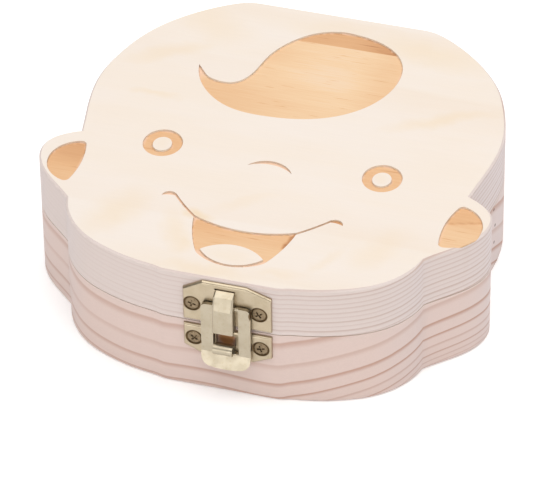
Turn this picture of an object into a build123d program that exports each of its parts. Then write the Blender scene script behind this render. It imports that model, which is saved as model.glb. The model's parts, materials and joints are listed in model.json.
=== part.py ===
from build123d import *
from math import cos, hypot, radians, sin, sqrt
import os

# A child's wooden tooth box: a head-shaped pine base and lid, hinged at the back and latched
# at the chin. +Z is up, +Y is the back. The origin is the middle of the outline, underneath.

# The two boards
box_width = 122.0
box_depth = 116.5
base_height = 22.0
lid_height = 15.1
seam_gap = 0.2
edge_chamfer = 0.5
back_flat_width = 46.0
chin_flat_width = 27.0
half_width = box_width / 2
half_depth = box_depth / 2
lid_bottom = base_height + seam_gap
lid_top = lid_bottom + lid_height
seam_height = base_height + seam_gap / 2

# Right half of the outline, as shares of the half width and the half depth. A lean is a direction.
crown_shares = [
    (0.508, 0.957),
    (0.664, 0.832),
    (0.803, 0.652),
    (0.888, 0.43),
    (0.918, 0.206),
    (0.9, 0.03),
]
notch_share = (0.869, -0.15)
notch_lean_share = (-0.164, -1.0)
ear_shares = [(0.938, -0.193), (0.99, -0.258), (1.0, -0.33), (0.951, -0.457), (0.877, -0.541)]
nick_share = (0.787, -0.632)
nick_lean_share = (-0.205, -1.0)
jaw_shares = [(0.743, -0.745), (0.656, -0.848), (0.5, -0.935), (0.352, -0.977), (0.287, -0.9895)]

# The face engraved in the lid
engraving_depth = 0.5
line_width = 0.65
tick_width = 1.3
curl_tip_share = (-0.513, 0.464)
curl_tip_lean_share = (-1.0, 1.257)
curl_under_shares = [
    (-0.443, 0.3),
    (-0.295, 0.188),
    (-0.131, 0.168),
    (0.115, 0.221),
    (0.303, 0.386),
    (0.37, 0.62),
]
curl_crown_share = (0.082, 0.877)
curl_over_shares = [
    (-0.148, 0.769),
    (-0.24, 0.592),
    (-0.282, 0.43),
    (-0.335, 0.373),
    (-0.431, 0.378),
]
eye_shares = [(-0.502, -0.143), (0.477, -0.131)]
eye_half_width = 5.3
eye_half_height = 5.7
pupil_half_width = 2.5
pupil_half_height = 2.9
pupil_drop = 0.4
nose_end_shares = [(-0.105, -0.196), (0.095, -0.208)]
nose_top_share = (-0.01, -0.142)
nose_thickness = 1.65
nose_weight_shift = 1.9
mouth_corner_share = (0.228, -0.6)
lip_middle_share = (0.0, -0.652)
mouth_side_share = (0.203, -0.717)
mouth_foot_share = (0.15, -0.845)
mouth_foot_radius = 4.0
mouth_bottom_share = (0.0, -0.905)
tongue_end_share = (0.138, -0.82)
tongue_top_share = (0.0, -0.756)
tongue_bottom_share = (0.0, -0.892)
smile_start_share = (0.214, -0.618)
smile_bend_share = (0.296, -0.539)
smile_end_share = (0.348, -0.478)
tick_shares = [(0.4, -0.503), (0.357, -0.469), (0.334, -0.494)]
ear_corner_radius = 1.5

# Each ear's hollow, its top, rim, foot and inner side
ear_hollow_shares = [
    [(-0.823, -0.222), (-0.948, -0.352), (-0.822, -0.525), (-0.8, -0.37)],
    [(0.85, -0.225), (0.974, -0.355), (0.822, -0.53), (0.812, -0.37)],
]

# Wells for twenty milk teeth, in two arches, round the well for a lock of hair
# and the one for the cord stump
wells_per_arch = 10
tooth_well_diameter = 9.0
tooth_well_depth = 13.0
arch_half_width = 42.0
arch_half_depth = 43.0
arch_centre_y = 1.0
arch_pitch_angle = 16.5
hair_well_width = 44.0
hair_well_depth = 22.0
hair_well_y = 16.0
stump_well_diameter = 28.0
stump_well_y = -16.0
keepsake_well_sink = 14.0

# Butt hinges on the flat back
hinge_spacing = 30.0
hinge_width = 18.0
leaf_height = 9.0
leaf_thickness = 0.9
knuckle_radius = 1.6
knuckle_middle_length = 8.6
knuckle_gap = 0.2
hinge_setback = 0.1
hinge_pin_radius = 0.75
hinge_pin_clearance = 0.05
hinge_pin_head_radius = 1.15
hinge_pin_head_length = 0.5
hinge_screw_inset = 3.5
hinge_screw_offset = 5.7
hinge_axis_y = half_depth + hinge_setback + knuckle_radius

# Latch plates on the chin
latch_x = 2.0
plate_width = 23.6
plate_thickness = 1.0
plate_edge_radius = 0.7
upper_plate_rise = 0.9
upper_plate_height = 13.3
lower_plate_drop = 0.7
lower_plate_height = 9.4
upper_left_corner = (5.2, 3.1)
upper_right_corner = (6.6, 2.3)
lower_corner = (5.0, 2.4)
upper_plate_foot = seam_height + upper_plate_rise
upper_plate_top = upper_plate_foot + upper_plate_height
lower_plate_top = seam_height - lower_plate_drop
latch_screw_inset = 2.9
upper_screw_shift = -0.4
upper_screw_rise = 5.6
lower_screw_drop = 4.1

# The hasp that hangs on the upper plate
hasp_width = 13.2
hasp_thickness = 1.0
hasp_top_radius = 1.4
hasp_foot_radius = 2.8
hasp_foot_bulge = 0.9
hasp_pin_diameter = 1.0
hasp_pivot_drop = 6.5
hasp_head = 0.5
hasp_reach = 19.2
window_width = 6.8
window_reach = 14.6
lip_bend_drop = 0.5
lip_flare = 1.5
hasp_pivot_clearance = 0.08
hasp_standoff = 0.3
pivot_height = upper_plate_top - hasp_pivot_drop
pivot_depth = plate_thickness + hasp_standoff + hasp_thickness / 2

# The folded strap over the hasp's pivot, a little off the middle of the latch
strap_shift = -0.4
strap_width = 5.5
strap_wall = 0.7
strap_edge_radius = 0.6
strap_top_drop = 1.9
strap_shoulder_drop = 2.8
strap_crease_drop = 6.4
strap_foot_drop = 13.9
strap_shoulder_depth = 2.7
strap_depth = 3.9
strap_slit = 0.5

# The curled catch on the lower plate
catch_width = 5.2
catch_sheet = 0.7
curl_radius = 1.5
curl_bore_radius = 0.75
curl_depth = 3.2
catch_swing_clearance = 0.1
catch_root_rise = 0.7
catch_slot_height = 4.0

# Countersunk cross-head screws
latch_screw = {"head": 2.0, "mouth": 2.3, "shank": 0.9, "length": 8.0, "dome": 0.28}
hinge_screw = {"head": 1.45, "mouth": 1.65, "shank": 0.75, "length": 7.0, "dome": 0.25}
screw_tip_share = 0.3
screw_tip_radius = 0.15
screw_crown_shares = [(0.85, 0.55), (0.5, 0.9), (0.0, 1.0)]
cross_length_share = 1.08
cross_width_share = 0.26
upper_cross_turns = (-15, 35)
lower_cross_turns = (-35, 15)
cross_depth = 0.45
cross_taper = 12
pilot_clearance = 0.05
overrun = 1.0

# How a solid stands at its place: on it, hung below it, or on it with its back to the wall
sitting = (Align.CENTER, Align.CENTER, Align.MIN)
hanging = (Align.CENTER, Align.CENTER, Align.MAX)
backed = (Align.CENTER, Align.MIN, Align.MIN)


def at(share):
    """A point of the outline or the face, from its shares of the half width and the half depth."""
    return (share[0] * half_width, share[1] * half_depth)


def mirrored(share):
    return (-share[0], share[1])


def upright(sketch):
    """A sketch drawn in X and Z, stood up facing the front, its near side at Y zero."""
    return Plane.XZ * sketch


def side_extrusion(points, width, shift=0):
    """A profile of (depth, height) points on the chin, extruded evenly to both sides of the latch."""
    profile = make_face(Polyline([(-half_depth - depth, height) for depth, height in points], close=True))
    return Pos(latch_x + shift, 0, 0) * extrude(Plane.YZ * profile, width / 2, both=True)


def across(radius, depth, height, width, shift=0):
    """A round bar across the latch."""
    bar = Cylinder(radius, width, rotation=(0, 90, 0))
    return Pos(latch_x + shift, -half_depth - depth, height) * bar


def head_outline():
    back = Line((-back_flat_width / 2, half_depth), (back_flat_width / 2, half_depth))
    chin = Line((-chin_flat_width / 2, -half_depth), (chin_flat_width / 2, -half_depth))
    notch, nick = at(notch_share), at(nick_share)
    crown = Spline([back @ 1, *map(at, crown_shares), notch], tangents=[back % 1, at(notch_lean_share)])
    ear = Spline([notch, *map(at, ear_shares), nick])
    jaw = Spline([nick, *map(at, jaw_shares), chin @ 1], tangents=[at(nick_lean_share), -(chin % 1)])
    side = Curve() + [crown, ear, jaw]
    return make_face(Curve() + [back, chin] + side.edges() + mirror(side, Plane.YZ).edges())


def lens(ends, first_middle, second_middle):
    """A face between two arcs that share their ends."""
    start, end = ends
    return make_face([ThreePointArc(start, first_middle, end), ThreePointArc(start, second_middle, end)])


def hair_curl():
    tip, crown = at(curl_tip_share), at(curl_crown_share)
    under = Spline([tip, *map(at, curl_under_shares), crown])
    over = Spline([crown, *map(at, curl_over_shares), tip], tangents=[under % 1, at(curl_tip_lean_share)])
    return make_face([under, over])


def eye(share):
    x, y = at(share)
    iris = Pos(x, y) * Ellipse(eye_half_width, eye_half_height)
    return iris - Pos(x, y - pupil_drop) * Ellipse(pupil_half_width, pupil_half_height)


def nose():
    top = at(nose_top_share)
    under = (top[0] + nose_weight_shift, top[1] - nose_thickness)
    return lens([at(share) for share in nose_end_shares], top, under)


def mouth():
    corner, foot = at(mouth_corner_share), at(mouth_foot_share)
    left_corner, left_foot = at(mirrored(mouth_corner_share)), at(mirrored(mouth_foot_share))
    lip = ThreePointArc(left_corner, at(lip_middle_share), corner)
    chin = ThreePointArc(foot, at(mouth_bottom_share), left_foot)
    side = ThreePointArc(corner, at(mouth_side_share), foot)
    left_side = ThreePointArc(left_foot, at(mirrored(mouth_side_share)), left_corner)
    opening = make_face([lip, side, chin, left_side])
    opening = fillet(opening.vertices().group_by(Axis.Y)[0], mouth_foot_radius)
    ends = [at(mirrored(tongue_end_share)), at(tongue_end_share)]
    return opening - lens(ends, at(tongue_top_share), at(tongue_bottom_share))


def smile_line(side):
    """The line from a corner of the mouth up into the cheek, with the tick at its end."""
    line_shares = (smile_start_share, smile_bend_share, smile_end_share)
    start, bend, end = [at((side * x, y)) for x, y in line_shares]
    outer, peak, inner = [at((side * x, y)) for x, y in tick_shares]
    line = trace(ThreePointArc(start, bend, end), line_width)
    return line + lens([outer, inner], peak, (peak[0], peak[1] - tick_width))


def ear_hollow(shares):
    top, rim, foot, inner = map(at, shares)
    return fillet(lens([top, foot], rim, inner).vertices(), ear_corner_radius)


def face_engraving():
    smile = mouth() + smile_line(-1) + smile_line(1)
    return [hair_curl(), nose(), smile, *map(eye, eye_shares), *map(ear_hollow, ear_hollow_shares)]


def screw_places():
    """Every screw by name: its kind, its x, the way that its head points, its height and its cross's turn."""
    places = {}
    upper = upper_plate_foot + upper_screw_rise
    lower = lower_plate_top - lower_screw_drop
    for step, name in enumerate(("left", "right")):
        x = latch_x + (2 * step - 1) * (plate_width / 2 - latch_screw_inset)
        upper_turn, lower_turn = upper_cross_turns[step], lower_cross_turns[step]
        places[f"latch_screw_upper_{name}"] = (latch_screw, x + upper_screw_shift, -1, upper, upper_turn)
        places[f"latch_screw_lower_{name}"] = (latch_screw, x, -1, lower, lower_turn)
    for name, hinge_x in hinge_places().items():
        for leaf, rise in (("base", -hinge_screw_offset), ("lid", hinge_screw_offset)):
            for number, side in ((1, -1), (2, 1)):
                x = hinge_x + side * (hinge_width / 2 - hinge_screw_inset)
                places[f"hinge_{name}_{leaf}_screw_{number}"] = (hinge_screw, x, 1, seam_height + rise, 0)
    return places


def hinge_places():
    return {"left": -hinge_spacing / 2, "right": hinge_spacing / 2}


def stood_off(shape, place):
    """A shape made on the Z axis, its foot at zero, laid on the front or back face with +Z pointing out."""
    _, x, side, height, _ = place
    return Pos(x, side * half_depth, height) * Rot(-side * 90, 0, 0) * shape


def pilot_hole(place):
    kind = place[0]
    hole = Cylinder(kind["shank"] + pilot_clearance, kind["length"] + pilot_clearance, align=hanging)
    return stood_off(hole, place)


def countersink(place, thickness):
    """What a screw takes out of the sheet that it holds: a cone that opens outwards, past both faces."""
    kind = place[0]
    foot, mouth = kind["shank"] + pilot_clearance, kind["mouth"]
    slope = (mouth - foot) / thickness
    far = overrun / 2
    cone = Cone(foot, mouth + slope * far, thickness + far, align=sitting)
    return stood_off(cone + Cylinder(foot, overrun), place)


def screw(place, thickness):
    kind, turn = place[0], place[-1]
    foot, mouth, head, shank = kind["shank"] + pilot_clearance, kind["mouth"], kind["head"], kind["shank"]
    rim = thickness * (head - foot) / (mouth - foot)
    tip = kind["length"] * screw_tip_share
    outline = [(0, -kind["length"]), (screw_tip_radius, -kind["length"]), (shank, tip - kind["length"])]
    outline += [(shank, 0), (foot, 0), (head, rim)]
    outline += [(head * out, rim + kind["dome"] * up) for out, up in screw_crown_shares]
    turned = revolve(Plane.XZ * make_face(Polyline(outline, close=True)), Axis.Z)
    arm = Rectangle(head * cross_length_share, head * cross_width_share)
    cross = Pos(0, 0, rim + kind["dome"]) * Rot(0, 0, turn) * (arm + Rot(0, 0, 90) * arm)
    return stood_off(turned - extrude(cross, -cross_depth, taper=cross_taper), place)


def base_tray():
    tray = extrude(head_outline(), base_height)
    tray = chamfer(tray.faces().sort_by(Axis.Z)[0].outer_wire().edges(), edge_chamfer)
    for x, y in tooth_well_places():
        tray -= Pos(x, y, base_height) * sunk(Circle(tooth_well_diameter / 2), tooth_well_depth)
    hair = SlotOverall(hair_well_width, hair_well_depth)
    tray -= Pos(0, hair_well_y, base_height) * sunk(hair, keepsake_well_sink)
    tray -= Pos(0, stump_well_y, base_height) * sunk(Circle(stump_well_diameter / 2), keepsake_well_sink)
    for place in screw_places().values():
        if place[3] < seam_height:
            tray -= pilot_hole(place)
    return tray


def sunk(sketch, depth):
    """A straight-sided well below the origin, cut past the surface."""
    return extrude(sketch, -depth) + extrude(sketch, overrun)


def tooth_well_places():
    places = []
    for middle in (90, -90):
        for step in range(wells_per_arch):
            angle = radians(middle + (step - (wells_per_arch - 1) / 2) * arch_pitch_angle)
            places.append((arch_half_width * cos(angle), arch_centre_y + arch_half_depth * sin(angle)))
    return places


def lid_panel():
    lid = Pos(0, 0, lid_bottom) * extrude(head_outline(), lid_height)
    lid = chamfer(lid.faces().sort_by(Axis.Z)[-1].outer_wire().edges(), edge_chamfer)
    for stroke in face_engraving():
        lid -= Pos(0, 0, lid_top) * sunk(stroke, engraving_depth)
    for place in screw_places().values():
        if place[3] > seam_height:
            lid -= pilot_hole(place)
    return lid


def knuckle_spans():
    """The stretches of a hinge's width that its knuckles take, as (start, end, leaf)."""
    middle = knuckle_middle_length / 2
    edge = hinge_width / 2
    return [
        (-edge, -middle - knuckle_gap, "base"),
        (-middle, middle, "lid"),
        (middle + knuckle_gap, edge, "base"),
    ]


def hinge_leaf(hinge_x, leaf):
    """A leaf flat on the wood, rolled round the pin in its own knuckles and clear of the others."""
    up = 1 if leaf == "lid" else -1
    clear = knuckle_radius + knuckle_gap
    plate = Box(hinge_width, leaf_thickness, leaf_height - clear, align=backed)
    solid = Pos(0, 0, clear) * plate
    solid = fillet(solid.edges().filter_by(Axis.Y).group_by(Axis.Z)[-1], knuckle_radius)
    barrel_y = hinge_setback + knuckle_radius
    for start, end, owner in knuckle_spans():
        if owner == leaf:
            span = end - start
            middle = (start + end) / 2
            web = Box(span, leaf_thickness, clear, align=backed)
            barrel = Cylinder(knuckle_radius, span, rotation=(0, 90, 0))
            solid += Pos(middle, 0, 0) * (web + Pos(0, barrel_y, 0) * barrel)
    bore = Cylinder(hinge_pin_radius + hinge_pin_clearance, hinge_width + overrun, rotation=(0, 90, 0))
    solid -= Pos(0, barrel_y, 0) * bore
    if leaf == "base":
        solid = mirror(solid, Plane.XY)
    solid = Pos(hinge_x, half_depth, seam_height) * solid
    for place in screw_places().values():
        if place[0] is hinge_screw and (place[3] - seam_height) * up > 0:
            solid -= countersink(place, leaf_thickness)
    return solid


def hinge_pin(hinge_x):
    """A pin through the knuckles, with a low head at each end."""
    pin = Cylinder(hinge_pin_radius, hinge_width)
    end = Cylinder(hinge_pin_head_radius, hinge_pin_head_length, align=sitting)
    end = chamfer(end.edges().group_by(Axis.Z)[-1], hinge_pin_head_length / 2)
    pin += Pos(0, 0, hinge_width / 2) * end
    pin += mirror(Pos(0, 0, hinge_width / 2) * end, Plane.XY)
    return Pos(hinge_x, hinge_axis_y, seam_height) * Rot(0, 90, 0) * pin


def plate_blank(foot, height, left_corner, right_corner, up):
    """A latch plate, with its two corners away from the seam cut off, each by its (width, height)."""
    half = plate_width / 2
    points = [(-half, 0), (-half, height - left_corner[1]), (left_corner[0] - half, height)]
    points += [(half - right_corner[0], height), (half, height - right_corner[1]), (half, 0)]
    outline = make_face(Polyline(points, close=True))
    blank = extrude(upright(outline), plate_thickness)
    if not up:
        blank = mirror(blank, Plane.XY)
    blank = Pos(latch_x, -half_depth, foot) * blank
    return fillet(blank.faces().sort_by(Axis.Y)[0].edges(), plate_edge_radius)


def strap_profile(shrink):
    """The strap seen from the side, from the plate out, less the thickness of its wall."""
    root = plate_thickness
    return [
        (root, upper_plate_top - strap_foot_drop - shrink),
        (strap_depth - shrink, upper_plate_top - strap_foot_drop - shrink),
        (strap_depth - shrink, upper_plate_top - strap_crease_drop),
        (strap_shoulder_depth - shrink, upper_plate_top - strap_shoulder_drop - shrink / 2),
        (root, upper_plate_top - strap_top_drop - shrink),
    ]


def folded_strap():
    """The strap, open at its back and its foot, with rounded edges down both sides of its front."""
    strap = side_extrusion(strap_profile(0), strap_width, strap_shift)
    sides = strap.faces().filter_by(Axis.X).edges()
    root, foot = sides.group_by(Axis.Y)[-1], sides.group_by(Axis.Z)[0]
    strap = fillet([edge for edge in sides if edge not in root + foot], strap_edge_radius)
    return strap - side_extrusion(strap_profile(strap_wall), strap_width - 2 * strap_wall, strap_shift)


def latch_plate():
    """The upper plate, with the slit above the folded strap and the pivot holes in the strap's sides."""
    plate = plate_blank(upper_plate_foot, upper_plate_height, upper_left_corner, upper_right_corner, True)
    slit = Box(strap_width, plate_thickness + overrun, strap_slit, align=sitting)
    slit_height = upper_plate_top - strap_top_drop
    plate -= Pos(latch_x + strap_shift, -half_depth - plate_thickness / 2, slit_height) * slit
    plate += folded_strap()
    pivot_bore = hasp_pin_diameter / 2 + hasp_pivot_clearance
    plate -= across(pivot_bore, pivot_depth, pivot_height, strap_width + overrun, strap_shift)
    for place in screw_places().values():
        if place[0] is latch_screw and place[3] > seam_height:
            plate -= countersink(place, plate_thickness)
    return plate


def catch_plate():
    """The lower plate, with a tongue bent out of its slot and curled just inside the hasp's swing."""
    plate = plate_blank(lower_plate_top, lower_plate_height, lower_corner, lower_corner, False)
    window_foot = pivot_height - window_reach
    swing = hypot(window_reach, hasp_thickness / 2) - curl_radius - catch_swing_clearance
    curl_height = pivot_height - sqrt(swing**2 - (curl_depth - pivot_depth) ** 2)
    root = window_foot + catch_root_rise
    slot = Box(catch_width, plate_thickness + overrun, catch_slot_height, align=sitting)
    plate -= Pos(latch_x + strap_shift, -half_depth - plate_thickness / 2, root) * slot
    top = curl_height + curl_radius
    tongue = side_extrusion(
        [
            (0, root - catch_sheet / 2),
            (0, root + catch_sheet / 2),
            (plate_thickness, root + catch_sheet / 2),
            (curl_depth, top),
            (curl_depth, top - catch_sheet),
            (plate_thickness, root - catch_sheet / 2),
        ],
        catch_width,
        strap_shift,
    )
    curl = across(curl_radius, curl_depth, curl_height, catch_width, strap_shift)
    curl -= across(curl_bore_radius, curl_depth, curl_height, catch_width + overrun, strap_shift)
    plate += tongue + curl
    for place in screw_places().values():
        if place[0] is latch_screw and place[3] < seam_height:
            plate -= countersink(place, plate_thickness)
    return plate


def hasp():
    """A frame that hangs on a round bar across its head, with a lip flared out for the fingertip."""
    back, front = pivot_depth - hasp_thickness / 2, pivot_depth + hasp_thickness / 2
    top, foot = pivot_height + hasp_head, pivot_height - hasp_reach
    bend = pivot_height - window_reach - lip_bend_drop
    sheet = side_extrusion(
        [
            (back, top),
            (front, top),
            (front, bend),
            (front + lip_flare, foot),
            (back + lip_flare, foot),
            (back, bend),
        ],
        hasp_width,
    )
    half, side_foot = hasp_width / 2, foot + hasp_foot_bulge
    rest = Polyline([(half, side_foot), (half, top), (-half, top), (-half, side_foot)])
    outline = make_face([rest, ThreePointArc((-half, side_foot), (0, foot), (half, side_foot))])
    outline = fillet(outline.vertices().group_by(Axis.Y)[-1], hasp_top_radius)
    outline = fillet(outline.vertices().group_by(Axis.Y)[0], hasp_foot_radius)
    window_foot = pivot_height - window_reach
    window = Rectangle(window_width, top - window_foot + overrun, align=(Align.CENTER, Align.MIN))
    outline -= Pos(0, window_foot) * window
    through = extrude(upright(outline), front + lip_flare + overrun)
    frame = sheet & (Pos(latch_x, -half_depth, 0) * through)
    return frame + across(hasp_pin_diameter / 2, pivot_depth, pivot_height, window_width + hasp_thickness)


def box_parts():
    parts = {
        "base_tray": base_tray(),
        "lid_panel": lid_panel(),
        "latch_plate": latch_plate(),
        "hasp": hasp(),
        "catch_plate": catch_plate(),
    }
    for name, hinge_x in hinge_places().items():
        parts[f"hinge_{name}_base_leaf"] = hinge_leaf(hinge_x, "base")
        parts[f"hinge_{name}_lid_leaf"] = hinge_leaf(hinge_x, "lid")
        parts[f"hinge_{name}_pin"] = hinge_pin(hinge_x)
    for name, place in screw_places().items():
        thickness = plate_thickness if place[0] is latch_screw else leaf_thickness
        parts[name] = screw(place, thickness)
    return parts


os.makedirs("parts", exist_ok=True)
for node, shape in box_parts().items():
    export_step(shape, f"parts/{node}.step")
    print(node, len(shape.solids()), "solid")
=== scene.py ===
# %% [markdown]
# # A pine box for milk teeth
# The box is two boards of pine, sawn to the outline of a head and hinged at the crown. A smiling
# face is burnt into the lid, and a small stamped latch holds it shut at the chin. The shapes come
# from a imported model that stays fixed. This lesson gives them their wood, brass and light. Blender
# works in metres and the box is small, so every size is written in millimetres and turned into
# metres by one value.

# %% The fixed model
import json
from functools import partial
from math import cos, e, radians, sin

import bmesh
import bpy
from mathutils import Color, Matrix, Vector
from mathutils.geometry import intersect_point_line
from mathutils.kdtree import KDTree


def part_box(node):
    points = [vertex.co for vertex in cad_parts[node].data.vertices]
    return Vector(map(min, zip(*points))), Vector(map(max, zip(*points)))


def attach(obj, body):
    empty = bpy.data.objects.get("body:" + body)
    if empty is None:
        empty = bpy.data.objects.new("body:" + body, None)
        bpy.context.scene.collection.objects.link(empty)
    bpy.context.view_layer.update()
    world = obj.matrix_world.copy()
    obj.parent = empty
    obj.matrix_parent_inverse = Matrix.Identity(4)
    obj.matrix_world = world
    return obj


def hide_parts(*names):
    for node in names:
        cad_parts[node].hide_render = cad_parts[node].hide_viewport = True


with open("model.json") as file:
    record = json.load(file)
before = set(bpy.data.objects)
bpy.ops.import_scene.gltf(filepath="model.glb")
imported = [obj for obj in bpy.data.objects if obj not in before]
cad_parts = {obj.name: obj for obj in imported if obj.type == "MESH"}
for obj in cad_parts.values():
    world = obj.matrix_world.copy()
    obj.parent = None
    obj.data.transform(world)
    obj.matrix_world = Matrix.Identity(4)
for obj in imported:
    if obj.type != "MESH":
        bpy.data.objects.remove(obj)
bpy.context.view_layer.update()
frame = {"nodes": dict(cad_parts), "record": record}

mm = 0.001

# %% [markdown]
# The photograph was taken from above the chin with a long lens, which keeps the sides of the box
# nearly parallel. The camera stands on a line given by two angles, is rolled a little, and is slid
# sideways to put the box where the picture has it.

# %% Camera
camera_azimuth = radians(16.718)
camera_elevation = radians(39.406)
camera_roll = radians(-0.841)
camera_distance = 1209.3 * mm
camera_slide_right = -2.58 * mm
camera_slide_up = 2.178 * mm
picture_width = 550
focal_length_pixels = 4500
sensor_width = 36
nearest_seen = 100 * mm
farthest_seen = 20000 * mm

back = Vector((
    sin(camera_azimuth) * cos(camera_elevation),
    -cos(camera_azimuth) * cos(camera_elevation),
    sin(camera_elevation),
))
level = Vector((cos(camera_azimuth), sin(camera_azimuth), 0))
upward = back.cross(level)
right = level * cos(camera_roll) + upward * sin(camera_roll)
up = upward * cos(camera_roll) - level * sin(camera_roll)

lens = bpy.data.cameras.new("picture camera")
lens.sensor_fit = "HORIZONTAL"
lens.sensor_width = sensor_width
lens.lens = sensor_width * focal_length_pixels / picture_width
lens.clip_start = nearest_seen
lens.clip_end = farthest_seen
camera = bpy.data.objects.new("picture_camera", lens)
bpy.context.scene.collection.objects.link(camera)
place = back * camera_distance + right * camera_slide_right + up * camera_slide_up
camera.matrix_world = Matrix.Translation(place) @ Matrix((right, up, back)).transposed().to_4x4()
bpy.context.scene.camera = camera
print("the lens is", round(lens.lens, 1), "mm")

# %% [markdown]
# The picture is bright and nearly without shadow: the box stands on a glowing white sheet under one
# very wide softbox, which hangs a little to the right, because the box's left side is the darker
# one. Metal shows what lies around it, and the upward edges of the latch find the softbox. A second,
# low panel in front of the box is what the sloping parts of the latch mirror. The room itself is
# dim, which keeps the other faces of the metal darker. Each lamp is given by its place, the point it
# faces, its two sides and its power.

# %% Light
lamps = {
    "softbox": ((300, 0, 1500), (300, 0, 0), (2700, 2900), 49.5),
    "front_panel": ((-330, -2000, 300), (0, 0, 0), (1000, 500), 6.6),
}
white = (1, 1, 1, 1)
world_strength = 0.2

bpy.context.scene.view_settings.view_transform = "Standard"
world = bpy.data.worlds.new("white tent")
world.use_nodes = True
world.node_tree.nodes["Background"].inputs["Color"].default_value = white
world.node_tree.nodes["Background"].inputs["Strength"].default_value = world_strength
bpy.context.scene.world = world
for name, (place, aim, size, power) in lamps.items():
    lamp = bpy.data.lights.new(name, "AREA")
    lamp.shape = "RECTANGLE"
    lamp.size, lamp.size_y = (side * mm for side in size)
    lamp.energy = power
    hung = bpy.data.objects.new(name, lamp)
    hung.location = Vector(place) * mm
    hung.rotation_euler = (Vector(aim) - Vector(place)).to_track_quat("-Z", "Y").to_euler()
    hung.visible_camera = False
    bpy.context.scene.collection.objects.link(hung)
print("lamps:", {name: f"{lamp[-1]} W" for name, lamp in lamps.items()})

# %% [markdown]
# The white sheet under the box is one large square. It glows a little, so that with the light from
# above it is whiter than white, and the soft shadow round the box vanishes. Two helpers come with
# it, because every later piece and finish needs them too.

# %% Floor
paper_white = (0.95, 0.95, 0.95, 1)
sheet_glow = 0.15
floor_width = 8000 * mm
floor_drop = 0.02 * mm


def new_object(name, mesh):
    """Puts a finished bmesh into the scene as an object at the origin."""
    data = bpy.data.meshes.new(name)
    mesh.to_mesh(data)
    mesh.free()
    made = bpy.data.objects.new(name, data)
    bpy.context.scene.collection.objects.link(made)
    return made


def new_material(name):
    """A material with its Principled shader: gives the material, its tree and the shader's inputs."""
    material = bpy.data.materials.new(name)
    material.use_nodes = True
    return material, material.node_tree, material.node_tree.nodes["Principled BSDF"].inputs


sheet = bmesh.new()
bmesh.ops.create_grid(sheet, x_segments=1, y_segments=1, size=floor_width / 2)
bmesh.ops.translate(sheet, verts=sheet.verts, vec=(0, 0, -floor_drop))
floor = new_object("floor", sheet)
paper, _, surface = new_material("white paper")
surface["Base Color"].default_value = paper_white
surface["Roughness"].default_value = 1
surface["Specular IOR Level"].default_value = 0
surface["Emission Color"].default_value = white
surface["Emission Strength"].default_value = sheet_glow
floor.data.materials.append(paper)
print("the floor is", round(floor_width / mm), "mm wide")

# %% [markdown]
# Materials are made of nodes, and the same few steps come back in all of them. These helpers add
# a node and join it up in one line, so that a material reads like a recipe. Colours are written
# as they look on a screen, from 0 to 255, and turned into the linear light that Blender mixes. The
# light that falls on the box is divided out, because a surface's own colour is darker than that.

# %% Nodes and colours
light_on_box = 1.3


def add_node(tree, kind, inputs=None, **settings):
    """Adds a shader node. An input is given by its name or number, as a value or another socket."""
    node = tree.nodes.new(kind)
    for name, value in settings.items():
        setattr(node, name, value)
    for name, value in (inputs or {}).items():
        if isinstance(value, bpy.types.NodeSocket):
            tree.links.new(value, node.inputs[name])
        else:
            node.inputs[name].default_value = value
    return node


def tone(*levels):
    """The colour of a surface that looks like this on a screen, in the light that falls on the box."""
    linear = Color(level / 255 for level in levels).from_srgb_to_scene_linear()
    return (*(part / light_on_box for part in linear), 1.0)


def mix_colours(tree, share, first, second):
    """Mixes two colours."""
    return add_node(tree, "ShaderNodeMix", {0: share, 6: first, 7: second}, data_type="RGBA").outputs[2]


def object_place(tree):
    """The place of a point on its piece, in metres."""
    return add_node(tree, "ShaderNodeTexCoord").outputs["Object"]


def attribute(tree, name):
    """A number that the shape carries on its points."""
    return add_node(tree, "ShaderNodeAttribute", attribute_name=name).outputs["Fac"]


def surface_finish(tree, surface, colour, roughness, height, strength, depth):
    """Joins a colour, a roughness and a relief to a shader's inputs."""
    bump = add_node(tree, "ShaderNodeBump", {"Strength": strength, "Distance": depth, "Height": height})
    tree.links.new(colour, surface["Base Color"])
    tree.links.new(roughness, surface["Roughness"])
    tree.links.new(bump.outputs["Normal"], surface["Normal"])


print("cream on the screen is", [round(part, 3) for part in tone(250, 237, 226)[:3]], "in linear light")

# %% [markdown]
# What makes wood look like wood is worked out from the place of each point: sums on its three
# coordinates, and noise, which varies softly from place to place. Noise that is pulled out along
# the grain becomes fibres.

# %% Sums and noise
noise_roughness = 0.55
noise_middle = 0.5


def calculate(tree, operation, *values):
    """One sum, on numbers or sockets."""
    return add_node(tree, "ShaderNodeMath", dict(enumerate(values)), operation=operation).outputs[0]


def calculate_vector(tree, operation, *values, **named):
    """One sum on vectors: gives a vector, or a number where a length or a distance is asked for."""
    inputs = {**dict(enumerate(values)), **named}
    node = add_node(tree, "ShaderNodeVectorMath", inputs, operation=operation)
    return node.outputs["Value" if operation in ("LENGTH", "DISTANCE") else "Vector"]


def remap(tree, value, low, high, to_low=0.0, to_high=1.0, shape="SMOOTHSTEP"):
    """Maps the span from low to high onto another span, with soft ends unless told otherwise."""
    inputs = dict(enumerate((value, low, high, to_low, to_high)))
    return add_node(tree, "ShaderNodeMapRange", inputs, interpolation_type=shape).outputs[0]


def in_millimetres(tree, vector):
    """A place in millimetres instead of metres."""
    return calculate_vector(tree, "SCALE", vector, Scale=1 / mm)


def stretched_noise(tree, vector, cycles, detail):
    """Noise that varies by the given number of cycles a millimetre along each axis."""
    stretched = calculate_vector(tree, "MULTIPLY", vector, cycles)
    inputs = {"Vector": stretched, "Scale": 1.0, "Detail": detail, "Roughness": noise_roughness}
    return add_node(tree, "ShaderNodeTexNoise", inputs).outputs[0]


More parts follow.
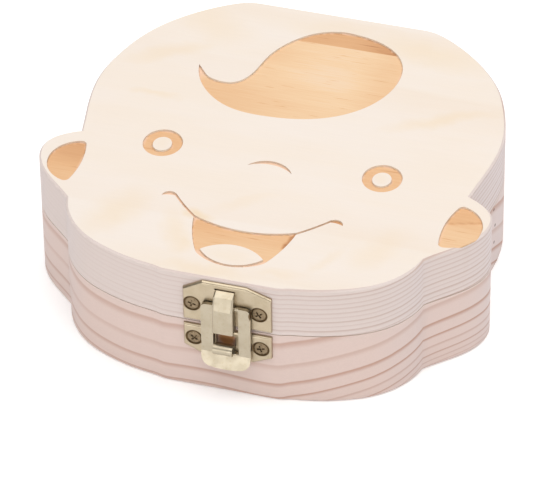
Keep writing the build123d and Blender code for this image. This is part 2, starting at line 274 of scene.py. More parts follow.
# %% [markdown]
# An effect that several materials share is built once as a group, and each material places it with
# its own values. Two of the groups below are sets of noises, so one function makes them: each mark
# is given by its cycles a millimetre along each axis, its detail and, where only its peaks count,
# the span over which it fades in.

# %% Node groups
def new_group(name, inputs, outputs):
    """A node group with named sockets: gives the tree, what comes in and what goes out."""
    tree = bpy.data.node_groups.new(name, "ShaderNodeTree")
    for socket, value in inputs.items():
        kind = "NodeSocketVector" if isinstance(value, tuple) else "NodeSocketFloat"
        tree.interface.new_socket(socket, in_out="INPUT", socket_type=kind).default_value = value
    for socket in outputs:
        tree.interface.new_socket(socket, in_out="OUTPUT", socket_type="NodeSocketFloat")
    return tree, tree.nodes.new("NodeGroupInput").outputs, tree.nodes.new("NodeGroupOutput").inputs


def noise_group(name, marks):
    """A group of noises, whose cycles each material can set."""
    cycles = {mark + " Cycles": cycles for mark, (cycles, *_) in marks.items()}
    tree, given, result = new_group(name, {"Vector": (0.0, 0.0, 0.0), **cycles}, marks)
    spot = in_millimetres(tree, given["Vector"])
    for mark, (_, detail, *span) in marks.items():
        noise = stretched_noise(tree, spot, given[mark + " Cycles"], detail)
        tree.links.new(remap(tree, noise, *span) if span else noise, result[mark])
    print(name + ":", len(tree.nodes), "nodes")
    return tree


def use_group(tree, group, **inputs):
    """Places a group in a material with its own values."""
    inputs = {name.replace("_", " "): value for name, value in inputs.items()}
    return add_node(tree, "ShaderNodeGroup", inputs, node_tree=group).outputs


# %% [markdown]
# Each board is one plank, and its pattern is the tree's own: cylinders of yearly growth around the
# pith, which lies far below the plank. A year starts pale and soft and ends in a thin dark line
# with a sharp outer side. The group works in three dimensions, in millimetres, so the lines on the
# lid, the sides and the sawn ends meet at the edges as they do in a real board. The rings sway
# slowly along the board, and no two years are equally wide or dark. The tree of the base grew
# faster with age, so its years widen outwards and are counted by a logarithm of the radius, and the
# lines dip once where a branch stood near.

# %% Growth rings
slow_sway_cycles = (0.009, 0.02, 0.02)
quick_sway_cycles = (0.045, 0.3, 0.3)
quick_sway_share = 0.16
uneven_year_cycles = 0.45
line_end = 0.93
faintest_year = 0.45
rings, given, result = new_group("growth rings", {
    "Vector": (0.0, 0.0, 0.0), "Year": 2.0, "Widening": 0.001, "Start": 0.0, "Phase": 0.0,
    "Pith Height": -100.0, "Pith Side": 0.0, "Slope": 0.0, "Dip": 0.0, "Dip Place": 0.0, "Dip Width": 14.0,
    "Sway": 1.0, "Unevenness": 0.6, "Late Share": 0.3,
}, ["Late Wood"])
reckon = partial(calculate, rings)
spot = in_millimetres(rings, given["Vector"])
along, across, height = add_node(rings, "ShaderNodeSeparateXYZ", {0: spot}).outputs
slow_sway = reckon("SUBTRACT", stretched_noise(rings, spot, slow_sway_cycles, detail=1.0), noise_middle)
quick_sway = reckon("SUBTRACT", stretched_noise(rings, spot, quick_sway_cycles, detail=2.0), noise_middle)
sway = reckon("MULTIPLY_ADD", quick_sway, quick_sway_share, slow_sway)
height = reckon("MULTIPLY_ADD", sway, given["Sway"], height)
height = reckon("SUBTRACT", height, reckon("MULTIPLY", along, given["Slope"]))
from_dip = reckon("DIVIDE", reckon("SUBTRACT", along, given["Dip Place"]), given["Dip Width"])
dipped = reckon("EXPONENT", reckon("MULTIPLY", reckon("MULTIPLY", from_dip, from_dip), -1.0))
height = reckon("MULTIPLY_ADD", dipped, given["Dip"], height)
above = reckon("SUBTRACT", height, given["Pith Height"])
beside = reckon("SUBTRACT", across, given["Pith Side"])
radius = reckon("SQRT", reckon("ADD", reckon("MULTIPLY", above, above), reckon("MULTIPLY", beside, beside)))
growth = reckon("MULTIPLY", reckon("SUBTRACT", radius, given["Start"]), given["Widening"])
growth = reckon("ADD", reckon("DIVIDE", growth, given["Year"]), 1.0)
steady_years = reckon("DIVIDE", reckon("LOGARITHM", growth, e), given["Widening"])
steady_years = reckon("ADD", steady_years, given["Phase"])
inputs = {"W": steady_years, "Scale": uneven_year_cycles, "Detail": 1.0}
uneven = add_node(rings, "ShaderNodeTexNoise", inputs, noise_dimensions="1D").outputs[0]
uneven = reckon("SUBTRACT", uneven, noise_middle)
years = reckon("MULTIPLY_ADD", uneven, given["Unevenness"], steady_years)
season = reckon("FRACT", years)
darkening = remap(rings, season, reckon("SUBTRACT", line_end, given["Late Share"]), line_end)
ending = remap(rings, season, line_end, 1.0, 1.0, 0.0)
inputs = {"W": reckon("FLOOR", years)}
year_tone = add_node(rings, "ShaderNodeTexWhiteNoise", inputs, noise_dimensions="1D").outputs[0]
year_tone = remap(rings, year_tone, 0.0, 1.0, faintest_year, 1.0, "LINEAR")
late_wood = reckon("MULTIPLY", reckon("MULTIPLY", darkening, ending), year_tone)
rings.links.new(late_wood, result["Late Wood"])
print("growth rings:", len(rings.nodes), "nodes")

# %% [markdown]
# Over the rings lie smaller marks. Wood fibres run along the board as hair-thin streaks, wide soft
# patches are a little yellower than the rest, and short dark dashes are resin canals cut open
# along their length. All three are noise, pulled out along the grain by its three scales.

# %% Fibres, patches and resin dashes
fibre_span = (0.3, 0.7)
fibres = noise_group("fibres", {
    "Fibre": ((0.10, 4.0, 4.0), 4.0),
    "Patch": ((0.014, 0.06, 0.06), 3.0, 0.35, 0.65),
    "Dash": ((0.085, 1.5, 1.5), 2.0, 0.66, 0.74),
})

# %% [markdown]
# Both boards and all their faces use one recipe for pine, each with its own shades. Early wood is
# the pale ground, late wood the colour of the lines, and the sawn ends of the fibres drink more
# light and look cooler. Where the fibres end is a property of the shape, so each board carries it
# as an attribute. Late wood is harder and stands a little proud of the rest after sanding. The
# rings show more towards one side of a board. Soft stains and small round spots lie on top.

# %% Pine
line_fade_reach = 45 * mm
wood_roughness = (0.73, 0.83)
wood_gloss = 0.3
wood_relief = 0.02 * mm
wood_relief_strength = 0.35
late_wood_relief = 0.6
stain_fray = 6 * mm
stain_fray_cycles = 0.16 / mm
stain_reach = 1.5
spot_core = 0.4


def stained(tree, place, stains):
    """How stained a place is, from soft spots given by x, y, half length, half width, turn and strength."""
    inputs = {"Vector": place, "Scale": stain_fray_cycles, "Detail": 3.0}
    noise = add_node(tree, "ShaderNodeTexNoise", inputs).outputs["Color"]
    frayed = calculate_vector(tree, "MULTIPLY_ADD", noise, (stain_fray,) * 3, place)
    level = 0.0
    for x, y, length, width, turn, strength in stains:
        middle = (x * mm + stain_fray / 2, y * mm + stain_fray / 2, 0)
        inputs = {0: frayed, 1: middle, 2: (0, 0, radians(turn)), 3: (length * mm, width * mm, 1)}
        local = add_node(tree, "ShaderNodeMapping", inputs, vector_type="TEXTURE").outputs[0]
        far = calculate_vector(tree, "LENGTH", local)
        level = calculate(tree, "MAXIMUM", level, remap(tree, far, 0.0, stain_reach, strength, 0.0))
    return level


def spotted(tree, colour, place, spots):
    """Mixes round spots into a colour, each given by its middle, radius and shade."""
    for middle, radius, shade in spots:
        far = calculate_vector(tree, "DISTANCE", place, Vector(middle) * mm)
        share = remap(tree, far, spot_core * radius * mm, radius * mm, 1.0, 0.0)
        colour = mix_colours(tree, share, colour, shade)
    return colour


def pine(name, board, early, late, end, line_strength, fibre_strength, patch=None, patch_strength=0.0,
         stains=(), spots=()):
    """Pine in the given shades: early and late wood, sawn ends, patches with stains, and spots."""
    material, tree, surface = new_material(name)
    place = object_place(tree)
    ring = use_group(tree, rings, Vector=place, **board)
    mark = use_group(tree, fibres, Vector=place)
    ground = early
    if patch:
        patches = calculate(tree, "MULTIPLY", mark["Patch"], patch_strength)
        patches = calculate(tree, "MAXIMUM", patches, stained(tree, place, stains))
        ground = mix_colours(tree, patches, early, patch)
    ground = mix_colours(tree, attribute(tree, "end_grain"), ground, end)
    sideways = add_node(tree, "ShaderNodeSeparateXYZ", {0: place}).outputs["X"]
    strength = remap(tree, sideways, -line_fade_reach, line_fade_reach, *line_strength, "LINEAR")
    line = calculate(tree, "MULTIPLY", ring["Late Wood"], strength)
    lined = spotted(tree, mix_colours(tree, line, ground, late), place, spots)
    level = remap(tree, mark["Fibre"], *fibre_span, 1.0 - fibre_strength, 1.0 + fibre_strength, "LINEAR")
    shaded = calculate_vector(tree, "SCALE", lined, Scale=level)
    roughness = remap(tree, mark["Fibre"], *fibre_span, *wood_roughness, "LINEAR")
    height = calculate(tree, "MULTIPLY_ADD", ring["Late Wood"], late_wood_relief, mark["Fibre"])
    surface["Specular IOR Level"].default_value = wood_gloss
    surface_finish(tree, surface, shaded, roughness, height, wood_relief_strength, wood_relief)
    return material


# %% [markdown]
# The two boards come from different trees: the lid's is old and fine, the base's young and coarse.
# Resin stains the lid in soft yellow places, which are listed one by one. The sawn edge of the base
# has three small pits, and the wood that shows through the opening of the lower latch plate is
# painted browner than the rest: painted shade and a painted reflection of the brass around it.

# %% Shades of the two boards
lid_low, lid_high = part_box("lid_panel")
base_low, base_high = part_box("base_tray")
lid_board = {"Year": 1.45, "Pith_Height": -700.0, "Start": 700.0, "Sway": 1.2,
             "Unevenness": 0.5, "Late_Share": 0.45}
base_board = {
    "Year": 2.1, "Widening": 0.25, "Start": 80.0, "Phase": 0.5, "Pith_Height": -80.0, "Pith_Side": -30.0,
    "Slope": 0.075, "Dip": 2.5, "Dip_Place": 14.0, "Sway": 0.9, "Unevenness": 0.25, "Late_Share": 0.3,
}
resin_stains = [
    (-34, 47, 17, 9, -35, 0.45),
    (-40.4, 30.7, 17, 3.6, 33, 0.5),
    (-39, 11.5, 9, 2, 3, 0.55),
    (0, 52, 17, 5, 5, 0.4),
    (27, 48, 22, 7, -8, 0.6),
    (38.5, 20.4, 17, 3, 30, 0.6),
    (-34, -39, 6, 12, -25, 0.5),
    (-16, -44, 3.5, 10, 20, 0.5),
    (-2.3, -25.5, 11, 2.6, 37, 0.35),
    (36, -36, 6, 11, -25, 0.45),
    (14, -52, 8, 2.5, 5, 0.4),
    (24, -44, 2.5, 8, -30, 0.35),
    (-5, -56, 16, 3.5, 0, 0.55),
    (0, -48, 8, 3.5, 0, 0.35),
    (-13.2, -34.5, 4.2, 2.4, -25, 1.0),
    (-14.0, -46.0, 3, 6, 10, 0.6),
    (-30.6, -8.7, 3, 3, 0, 0.4),
    (29.1, -8, 3, 3, 0, 0.4),
]
pit_shade = tone(120, 92, 84)
pits_and_slot_shade = [
    ((55.7, 7.4, 20.8), 0.6, pit_shade),
    ((55.8, 8.6, 14.7), 0.6, pit_shade),
    ((55.8, 8.1, 9.2), 0.6, pit_shade),
    # Painted shade and a painted brass reflection: the wood behind the lower plate's opening is browner.
    ((1.6, base_low.y / mm, 17.9), 3.2, tone(226, 160, 104)),
]

lid_face = pine("sanded lid", lid_board, tone(252, 240, 229), tone(246, 224, 200), tone(248, 236, 226),
                line_strength=(0.15, 0.3), fibre_strength=0.012,
                patch=tone(250, 228, 197), patch_strength=0.2, stains=resin_stains)
lid_side = pine("sawn lid edge", lid_board, tone(240, 224, 217), tone(207, 174, 160), tone(246, 234, 234),
                line_strength=(0.1, 0.8), fibre_strength=0.02)
base_side = pine("sawn base edge", base_board, tone(241, 217, 207), tone(202, 154, 133), tone(242, 227, 225),
                 line_strength=(0.6, 0.9), fibre_strength=0.025, spots=pits_and_slot_shade)
base_face = pine("planed base", base_board, tone(250, 232, 216), tone(232, 190, 158), tone(246, 230, 220),
                 line_strength=(0.5, 0.5), fibre_strength=0.02)
well_wood = pine("bored well", base_board, tone(244, 220, 196), tone(222, 176, 140), tone(232, 206, 186),
                 line_strength=(0.6, 0.6), fibre_strength=0.05)
print("pine:", len(lid_face.node_tree.nodes), "nodes on the lid,", len(resin_stains), "stains")

# %% [markdown]
# The face is burnt into the lid by a laser. Its wide places are toasted orange, and its thin
# strokes a greyer brown, whose colour is painted paler than the burn as painted light against the
# shade in their narrow grooves. The walls of the burnt places stand in their own shade, and their
# colour is painted paler than the floors' as painted light against it. How much each spot was
# burnt is kept on the shape as an attribute, from 0 for bare wood to 1 for the darkest mark, and a
# ramp turns that into colour. A second attribute says where the strokes are. The fibres show
# through, because they burn unevenly.

# %% Burnt pine
floor_shades = {
    0.0: (252, 239, 228),
    0.25: (251, 215, 174),
    0.5: (238, 188, 141),
    0.75: (220, 165, 119),
    1.0: (176, 120, 82),
}
# Painted light: the walls' shades are paler than the floors' to offset the shade they stand in.
wall_shades_painted_pale = {0.0: (255, 246, 230), 0.5: (255, 230, 202), 1.0: (226, 176, 134)}
patch_burn = 0.08
fibre_burn = 0.25
dash_burn = 0.3
stroke_strength = 0.85
burnt_roughness = (0.76, 0.9)
burnt_gloss = 0.2
burnt_relief = 0.03 * mm
burnt_relief_strength = 0.4


def burnt_pine(name, burn_shades, stroke_shade_painted_pale):
    """Pine coloured by how much it was burnt, with dashes and a little relief."""
    material, tree, surface = new_material(name)
    mark = use_group(tree, fibres, Vector=object_place(tree))
    burn = attribute(tree, "burn")
    for unevenness, strength in ((mark["Patch"], patch_burn), (mark["Fibre"], fibre_burn)):
        centred = calculate(tree, "SUBTRACT", unevenness, noise_middle)
        burn = calculate(tree, "MULTIPLY_ADD", centred, strength, burn)
    burn = calculate(tree, "MULTIPLY_ADD", mark["Dash"], dash_burn, burn)
    ramp = add_node(tree, "ShaderNodeValToRGB", {0: burn})
    for number, (share, shade) in enumerate(burn_shades.items()):
        stop = ramp.color_ramp.elements[number] if number < 2 else ramp.color_ramp.elements.new(share)
        stop.position = share
        stop.color = tone(*shade)
    # Painted light: strokes mix towards a colour paler than the burn, against the shade in their grooves.
    stroke = calculate(tree, "MULTIPLY", attribute(tree, "stroke"), stroke_strength)
    colour = mix_colours(tree, stroke, ramp.outputs["Color"], tone(*stroke_shade_painted_pale))
    roughness = remap(tree, mark["Fibre"], *fibre_span, *burnt_roughness, "LINEAR")
    surface["Specular IOR Level"].default_value = burnt_gloss
    surface_finish(tree, surface, colour, roughness, mark["Fibre"], burnt_relief_strength, burnt_relief)
    return material


# The stroke colours for floors and walls are painted pale, as painted light.
burnt_floor = burnt_pine("burnt floor", floor_shades, (250, 212, 184))
painted_pale_wall = burnt_pine("burnt wall painted pale", wall_shades_painted_pale, (250, 224, 200))
print("burnt pine:", len(burnt_floor.node_tree.nodes), "nodes")

# %% [markdown]
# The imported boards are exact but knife-edged, and they are made of loose triangles. A copy of each
# is merged and its flat faces are joined up again. Then the edges that a hand would round with
# sandpaper get a narrow bevel, each face gets its finish from its height and the way it looks, and
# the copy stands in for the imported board.

# %% Copies of the boards
merge_distance = 0.002 * mm
flat_angle = radians(0.3)
sharp_angle = radians(40)


def merged_copy(node):
    """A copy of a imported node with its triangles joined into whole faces."""
    mesh = bmesh.new()
    mesh.from_mesh(frame["nodes"][node].data)
    for layer in ("end_grain", "burn", "stroke"):
        mesh.verts.layers.float.new(layer)
    bmesh.ops.remove_doubles(mesh, verts=mesh.verts, dist=merge_distance)
    bmesh.ops.dissolve_limit(mesh, angle_limit=flat_angle, verts=mesh.verts, edges=mesh.edges)
    mesh.normal_update()
    return mesh


def finish_piece(name, mesh, body, replaced, materials):
    """Makes the object, smooths its shading, hangs it on its body and hides the parts it stands in for."""
    made = new_object(name, mesh)
    stale = made.data.attributes.get("custom_normal")
    if stale:
        made.data.attributes.remove(stale)
    for material in materials:
        made.data.materials.append(material)
    made.data.shade_smooth()
    made.data.set_sharp_from_angle(angle=sharp_angle)
    weighted = made.modifiers.new("even shading", "WEIGHTED_NORMAL")
    weighted.keep_sharp = True
    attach(made, body)
    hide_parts(*replaced)
    print(name, len(made.data.vertices), "vertices,", len(made.data.polygons), "faces")
    return made


# %% [markdown]
# A board's rims were sanded after their chamfers were cut, and the two edges that meet at the seam
# are almost sharp. How a face looks is read from the upright part of its normal, which is 1 on a
# level face, 0 on an upright one and in between on a chamfer.

# %% Rounded edges
edge_round = 0.15 * mm
seam_round = 0.04 * mm
same_height = 0.01 * mm
corner_angle = radians(20)
bevel_segments = 2
upright = 0.1
chamfered = (0.5, 0.9)
level_face = 0.95


def chamfer_edges(mesh, chamfer):
    """The edges between a chamfer's faces and the faces beside it, where they meet at an angle."""
    return [edge for edge in mesh.edges if sum(face in chamfer for face in edge.link_faces) == 1
            and edge.calc_face_angle() > corner_angle]


def wall_edges(mesh, height):
    """The edges in which upright walls end at a height."""
    return [edge for edge in mesh.edges
            if all(abs(vert.co.z - height) < same_height for vert in edge.verts)
            and any(abs(face.normal.z) < upright for face in edge.link_faces)]


def round_edges(mesh, edges, width):
    """Bevels edges by a width, with a round profile."""
    bmesh.ops.bevel(mesh, geom=edges, offset=width, offset_type="OFFSET", affect="EDGES",
                    segments=bevel_segments, profile=0.5, material=-1, clamp_overlap=True)
    mesh.normal_update()


print("edges are rounded by", [round(width / mm, 2) for width in (edge_round, seam_round)], "mm")

# %% [markdown]
# The fibres run from left to right in both boards. A sawn side that crosses them shows their cut
# ends, and one that follows them doesn't. The bevelled rims keep the look of the level faces.

# %% End grain
end_grain_start = 0.4
end_grain_reach = 0.7
end_grain_most = 0.8
end_grain_level_fade = 1.4
tiny = 1e-6


def mark_end_grain(mesh):
    """Notes on each point how squarely its surface cuts the fibres, which run along X."""
    layer = mesh.verts.layers.float["end_grain"]
    for vert in mesh.verts:
        sideways, forward, upward = (abs(part) for part in vert.normal)
        facing = sideways / max(sideways + forward, tiny)
        share = max(0.0, min(end_grain_most, (facing - end_grain_start) / end_grain_reach))
        vert[layer] = share * max(0.0, 1.0 - upward * end_grain_level_fade)


# %% [markdown]
# The lid comes first. Its burnt floors are cut into small cells, so that the attributes can change
# across them. Three more cuts lie on and close beside the joint where the strips of the board are
# glued, because a thin dark line runs along it.

# %% Floors of the burnt places
engraved = 0.5 * mm
burnt_height = lid_high.z - engraved
cell = 0.7 * mm
glue_joint_y = 45.1 * mm
glue_line = 0.12 * mm
floor_slack = 0.05 * mm
cut_slack = 1e-7
mesh = merged_copy("lid_panel")


def unique(items):
    """Each item once, in the order in which it first comes."""
    return list(dict.fromkeys(items))


def is_burnt_floor(face):
    """Whether a face lies flat on the floor of a burnt place."""
    return face.normal.z > chamfered[1] and abs(face.calc_center_median().z - burnt_height) < floor_slack


def cut_floors(place, direction):
    """Cuts the burnt floors, and nothing else, along an upright plane."""
    floors = [face for face in mesh.faces if is_burnt_floor(face)]
    edges = unique(edge for face in floors for edge in face.edges)
    verts = unique(vert for face in floors for vert in face.verts)
    bmesh.ops.bisect_plane(mesh, geom=floors + edges + verts, dist=cut_slack,
                           plane_co=place, plane_no=direction)


columns = int(lid_high.x / cell)
for number in range(-columns, columns + 1):
    cut_floors((number * cell, 0, 0), (1, 0, 0))
    cut_floors((0, number * cell, 0), (0, 1, 0))
for offset in (-glue_line, 0.0, glue_line):
    cut_floors((0, glue_joint_y + offset, 0), (0, 1, 0))
mesh.normal_update()
floors = [face for face in mesh.faces if is_burnt_floor(face)]
points = unique(vert for face in floors for vert in face.verts)
print("the burnt floors have", len(floors), "cells and", len(points), "points")

# %% [markdown]
# Each point of a floor is given its burn, and three things decide it: where the point lies, how
# near the closest wall is, and whether the stroke around it is narrow. A search tree answers the
# second quickly. It holds points set closely along the floors' rims.

# %% Distance to the nearest wall
rim_step = 0.1 * mm


def search_tree(places):
    """A tree that finds the place nearest to a point."""
    tree = KDTree(len(places))
    for number, place in enumerate(places):
        tree.insert(place, number)
    tree.balance()
    return tree


rim_places = []
for edge in unique(edge for face in floors for edge in face.edges):
    if not all(is_burnt_floor(face) for face in edge.link_faces):
        first, last = (vert.co for vert in edge.verts)
        steps = max(1, round((last - first).length / rim_step))
        rim_places += [first.lerp(last, step / steps) for step in range(steps + 1)]
rim = search_tree(rim_places)
near = {vert: rim.find(vert.co)[2] for vert in points}
print("the widest burnt place reaches", round(max(near.values()) / mm, 1), "mm from its walls")

# %% [markdown]
# The laser toasted each place in its own way. A place is given by its palest burn and by ramps that
# add to it, each by its axis, its start, its end and its rise. The hair is palest in its middle
# and darkest behind the glue joint, and a thin brown streak slants across the right ear.

# %% Toasted places
toasted = {
    "left ear": (0.46, [("y", -28, -14, 0.2)]),
    "right ear": (0.38, []),
    "hair": (0.28, [("x", 12, -22, 0.09), ("x", 8, 19, 0.08)]),
    "eyes and nose": (0.44, []),
    "mouth": (0.38, [("y", -45, -37, 0.1), ("x", 2, -8, 0.05)]),
}
ears_from_x = 45
hair_from_y = 9
nose_from_y = -16
pale_hair_middle = Vector((0, 35))
pale_hair_reach = Vector((15, 9))
pale_hair_drop = 0.09
joint_shade = 0.32
joint_shade_rise = 0.16
joint_shade_ends = (3, 17)
joint_shade_step = (-0.05, 0.1)
joint_line_burn = 0.3
ear_streak_middle = Vector((50, -20.6))
ear_streak_slope = 0.28
ear_streak_reach = 0.5
ear_streak_burn = 0.3
ear_behind_streak = 0.1
ear_streak_step = (-0.3, 0.6)


def ramp_between(value, low, high):
    """0 at low, 1 at high, and a soft rise between them."""
    share = max(0.0, min(1.0, (value - low) / (high - low)))
    return share * share * (3 - 2 * share)


def hair_marks(x, y):
    """The pale middle of the hair, the darker strip behind the glue joint and the line on it."""
    sideways = (x - pale_hair_middle.x) / pale_hair_reach.x
    forward = (y - pale_hair_middle.y) / pale_hair_reach.y
    pale = pale_hair_drop * e ** -(sideways ** 2 + forward ** 2)
    behind = y - glue_joint_y / mm
    shade = joint_shade + joint_shade_rise * ramp_between(x, *joint_shade_ends)
    line = joint_line_burn * max(0.0, 1 - abs(behind) * mm / glue_line)
    return shade * ramp_between(behind, *joint_shade_step) + line - pale


def ear_streak(x, y):
    """The streak across the right ear, and the darker wood behind it."""
    behind = y - (ear_streak_middle.y + ear_streak_slope * (x - ear_streak_middle.x))
    streak = ear_streak_burn * max(0, 1 - abs(behind) / ear_streak_reach)
    return streak + ear_behind_streak * ramp_between(behind, *ear_streak_step)


def place_burn(x, y):
    """How much the laser toasted a place on the lid, by its millimetres from the middle."""
    if abs(x) > ears_from_x:
        place = "left ear" if x < 0 else "right ear"
    elif y > hair_from_y:
        place = "hair"
    else:
        place = "eyes and nose" if y > nose_from_y else "mouth"
    burn, ramps = toasted[place]
    for axis, start, end, rise in ramps:
        burn += rise * ramp_between({"x": x, "y": y}[axis], start, end)
    marks = {"hair": hair_marks, "right ear": ear_streak}
    return burn + marks[place](x, y) if place in marks else burn


print("the middle of the hair is burnt by", round(place_burn(*pale_hair_middle), 2))

# %% [markdown]
# In two places the laser lingered and left a darker bruise, on the right side of the mouth and at
# the right end of the smile. Each is a short line with soft sides, given by its two ends, its reach
# and its strength. The foot of every wall is a little darker too, partly the laser's darker rim and
# partly painted shade in the corner. A point belongs to a stroke where no point close by lies far
# from a wall. The walls take that mark from the floor below them.

# %% Burn and strokes
bruises = [((13.3, -35.6), (12.1, -41.0), 0.9, 0.9), ((20.8, -28.0), (23.0, -27.8), 1.5, 0.8)]
bruise_core = 0.45
bruise_hides_stroke = (0.3, 0.7)
foot_burn_and_shade = 0.06
foot_reach = 0.5 * mm
stroke_search = 1.3 * mm
stroke_half_width = (0.8 * mm, 1.2 * mm)
wall_start = 0.1 * mm
wall_search = 0.6 * mm


def bruise_burn(place):
    """How dark a place is where the laser lingered, along a short line."""
    place = Vector((place.x, place.y, 0)) / mm
    darkest = 0.0
    for first, last, reach, strength in bruises:
        first, last = (Vector((*end, 0)) for end in (first, last))
        share = intersect_point_line(place, first, last)[1]
        beside = (place - first.lerp(last, max(0, min(1, share)))).length
        darkest = max(darkest, strength * (1 - ramp_between(beside, bruise_core * reach, reach)))
    return darkest


burn = mesh.verts.layers.float["burn"]
stroke = mesh.verts.layers.float["stroke"]
field = search_tree([vert.co for vert in points])
for vert in points:
    bruised = bruise_burn(vert.co)
    toasted_burn = place_burn(vert.co.x / mm, vert.co.y / mm)
    # Painted shade, together with the laser's darker rim: the floor darkens near the foot of each wall.
    toasted_burn += foot_burn_and_shade * (1 - ramp_between(near[vert], 0, foot_reach))
    vert[burn] = max(toasted_burn, bruised)
    room = max(near[points[number]] for _, number, _ in field.find_range(vert.co, stroke_search))
    vert[stroke] = 1 - ramp_between(room, *stroke_half_width)
    vert[stroke] *= 1 - ramp_between(bruised, *bruise_hides_stroke)
for vert in mesh.verts:
    if vert not in near and vert.co.z > burnt_height + wall_start:
        _, number, far = field.find(vert.co)
        if far < wall_search:
            vert[stroke] = points[number][stroke]
burns = [vert[burn] for vert in points]
print("burn runs from", round(min(burns), 2), "to", round(max(burns), 2))

# %% [markdown]
# Now the lid gets its rounded edges and its four finishes: sanded top, sawn side, and the floors and
# walls of the burnt places. The narrow rounding below the rim's chamfer takes the walls' finish
# too, with its painted paleness. A laser leaves the foot of a wall rounded, so the shading runs on
# from the floor into the wall instead of breaking there.

# %% Lid edges and finishes
steep = 0.3
foot_slack = 0.02 * mm
large_face_weight = 100
chamfer = {face for face in mesh.faces if chamfered[0] < face.normal.z < chamfered[1]}
round_edges(mesh, chamfer_edges(mesh, chamfer), edge_round)
round_edges(mesh, wall_edges(mesh, lid_low.z), seam_round)
mark_end_grain(mesh)
for face in mesh.faces:
    lowest = min(vert.co.z for vert in face.verts)
    if is_burnt_floor(face):
        face.material_index = 2
    elif abs(face.normal.z) < steep and lowest > burnt_height - foot_slack:
        face.material_index = 3
    else:
        face.material_index = 1 if abs(face.normal.z) < level_face else 0
lid_wood = finish_piece("lid_wood", mesh, "lid", ["lid_panel"],
                        [lid_face, lid_side, burnt_floor, painted_pale_wall])
heights = [vert.co.z for vert in lid_wood.data.vertices]
for edge in lid_wood.data.edges:
    if all(abs(heights[number] - burnt_height) < foot_slack for number in edge.vertices):
        edge.use_edge_sharp = False
lid_wood.modifiers["even shading"].weight = large_face_weight

# %% [markdown]
# The base is the thicker board. Its outer wall is sawn, its top is planed, and the wells for the
# teeth, the hair and the stump of the cord are bored and milled into it from above. The outer wall
# is found by walking from face to face, up from the foot, and what else isn't level belongs to a
# well, as do the level floors between foot and top.

# %% Base
foot_height = 1 * mm
well_slack = 0.1 * mm
mesh = merged_copy("base_tray")
chamfer = {face for face in mesh.faces if chamfered[0] < -face.normal.z < chamfered[1]
           and face.calc_center_median().z < foot_height}
round_edges(mesh, chamfer_edges(mesh, chamfer), edge_round)
round_edges(mesh, wall_edges(mesh, base_high.z), seam_round)
mark_end_grain(mesh)
outside = [face for face in mesh.faces if abs(face.normal.z) < level_face
           and min(vert.co.z for vert in face.verts) < foot_height]
reached = set(outside)
while outside:
    for edge in outside.pop().edges:
        for face in edge.link_faces:
            if face not in reached and abs(face.normal.z) < level_face:
                reached.add(face)
                outside.append(face)
for face in mesh.faces:
    in_board = well_slack < face.calc_center_median().z < base_high.z - well_slack
    if face in reached:
        face.material_index = 0
    else:
        face.material_index = 1 if abs(face.normal.z) > level_face and not in_board else 2
finish_piece("base_wood", mesh, "base", ["base_tray"], [base_side, base_face, well_wood])

# %% [markdown]
# The latch and hinges are stamped from thin sheet and plated a pale yellow. Plating is a metal, so
# its colour is in its reflection, and what makes it real is that the reflection is not even: it is
# brushed along one way, thumbed dull in places, and a little browner where the plating is thin. A
# group gives these three, and each metal uses them with its own strength.

# %% Handled metal
handled = noise_group("handled metal", {
    "Brushed": ((2.0, 9.0, 0.4), 4.0),
    "Thumbed": ((0.35, 0.35, 0.35), 3.0, 0.35, 0.65),
    "Thin": ((1.3, 1.3, 1.3), 4.0, 0.52, 0.75),
})

# %% [markdown]
# Round each screw the colour is darkened as painted shade, both on the sheet beside a head, where
# the countersink leaves a shadowed gap, and on the head's own rim. The sheets that lie flat on the
# boards look warmer than the folded strap in front of them, and the screws are darker and rougher
# than the sheets. The metal pieces keep their imported shapes.

# %% Sheets and screws
screws = [row["node"] for row in frame["record"]["subparts"] if row["material_slot"] == "screw_brass"]
along_screw = (1, 0.05, 1)
# Dark brown for the screws' worn plating, and also the painted shade round the screws.
dark_wear_and_shade = tone(112, 90, 62)
thumbed_share = 0.15
brush_strength = 0.3
sheet_front = lid_low.y - 1.2 * mm
strap_back = lid_low.y - 1.6 * mm
print(len(screws), "screws:", screws)


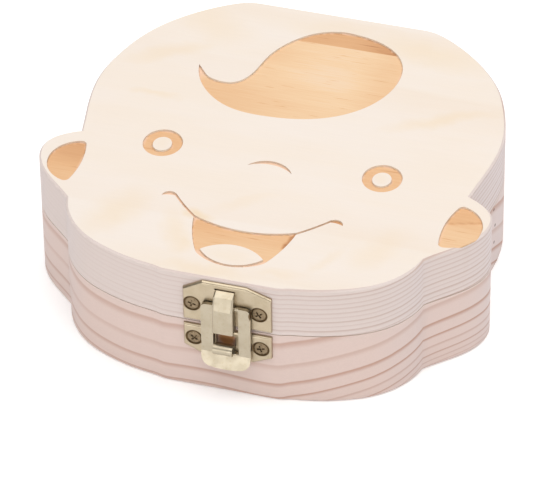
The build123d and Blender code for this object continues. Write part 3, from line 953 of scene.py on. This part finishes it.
def off_screws(tree, place, low, high):
    """0 nearer than low to the middle of any screw, 1 beyond high from all, in millimetres."""
    level = 1.0
    for screw in screws:
        low_corner, high_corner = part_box(screw)
        off_middle = calculate_vector(tree, "SUBTRACT", place, (low_corner + high_corner) / 2)
        far = calculate_vector(tree, "LENGTH", calculate_vector(tree, "MULTIPLY", off_middle, along_screw))
        level = calculate(tree, "MINIMUM", level, remap(tree, far, low * mm, high * mm))
    return level


def plated(name, bright, warm, thin, thin_share, roughness, spread, relief, shade_edge, is_screw=False):
    """Plated metal, warmer on the sheets that lie on the boards and darker where the plating is
    thin, with painted shade inside an edge round each screw, or on a screw itself outside that edge."""
    material, tree, surface = new_material(name)
    place = object_place(tree)
    mark = use_group(tree, handled, Vector=place)
    share = calculate(tree, "MULTIPLY", mark["Thin"], thin_share)
    share = calculate(tree, "MULTIPLY_ADD", mark["Thumbed"], thumbed_share, share)
    depth = add_node(tree, "ShaderNodeSeparateXYZ", {0: place}).outputs["Y"]
    on_board = remap(tree, depth, strap_back, sheet_front)
    worn = mix_colours(tree, share, mix_colours(tree, on_board, bright, warm), thin)
    # Painted shade round each screw: on the sheet inside the edge, or on the head's rim outside it.
    inside, outside = (worn, dark_wear_and_shade) if is_screw else (dark_wear_and_shade, worn)
    worn = mix_colours(tree, off_screws(tree, place, *shade_edge), inside, outside)
    dull = calculate(tree, "MULTIPLY_ADD", mark["Thumbed"], spread, roughness)
    dull = calculate(tree, "MULTIPLY_ADD", mark["Brushed"], spread, dull)
    surface["Metallic"].default_value = 1
    surface_finish(tree, surface, worn, dull, mark["Brushed"], brush_strength, relief)
    return material


metals = {
    "pale_brass": plated(
        "pale brass", tone(205, 193, 170), tone(207, 191, 164), tone(184, 164, 132), thin_share=0.35,
        roughness=0.24, spread=0.12, relief=0.006 * mm, shade_edge=(2.25, 2.5)),
    "screw_brass": plated(
        "screw brass", tone(168, 150, 122), tone(168, 148, 120), dark_wear_and_shade, thin_share=0.9,
        roughness=0.36, spread=0.15, relief=0.02 * mm, shade_edge=(1.7, 1.95), is_screw=True),
}
for row in frame["record"]["subparts"]:
    if row["material_slot"] in metals:
        materials = frame["nodes"][row["node"]].data.materials
        materials.clear()
        materials.append(metals[row["material_slot"]])
